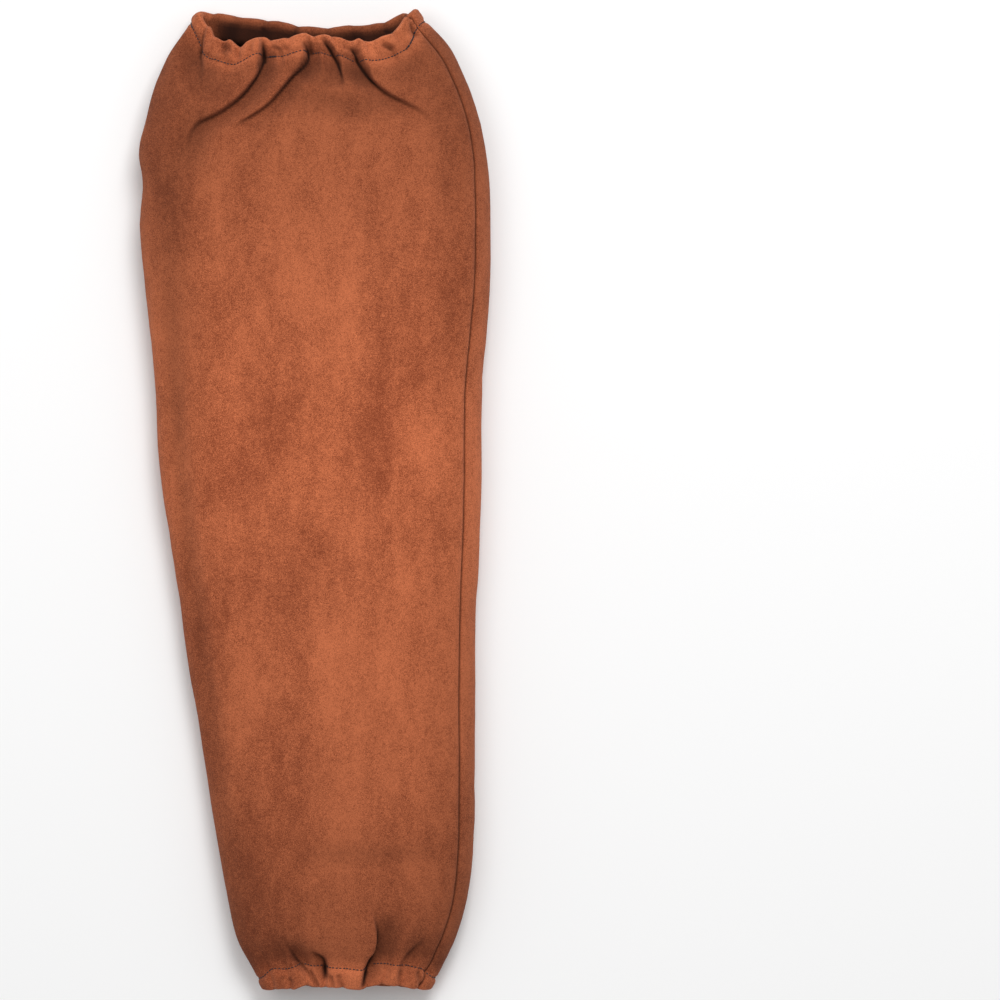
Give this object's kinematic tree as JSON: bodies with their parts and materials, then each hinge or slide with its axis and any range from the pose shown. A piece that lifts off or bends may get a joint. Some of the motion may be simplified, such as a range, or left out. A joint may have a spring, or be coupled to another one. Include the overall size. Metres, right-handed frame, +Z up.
{
  "type": "welding sleeve",
  "caption": "Tapered split-leather arm sleeve lying flat, with one long seam and an elasticated, gathered hem at each open end.",
  "frame": {"origin": "middle of the underside that the sleeve lies on, at the centre of its length and width", "axes": "+Y along the sleeve from the wrist end to the upper arm end, +X across it towards the long seam, +Z up from what it lies on"},
  "size_m": [0.2098, 0.5842, 0.0461],
  "materials": {
    "suede": "napped split leather, matt",
    "suede_edge": "flesh side and cut edge of the leather, matt",
    "elastic": "woven elastic, matt",
    "thread": "dark twisted sewing thread"
  },
  "bodies": {
    "root": {"leather_body": "suede", "upper_elastic": "elastic", "lower_elastic": "elastic", "seam_allowance": "suede_edge"}
  },
  "joints": []
}
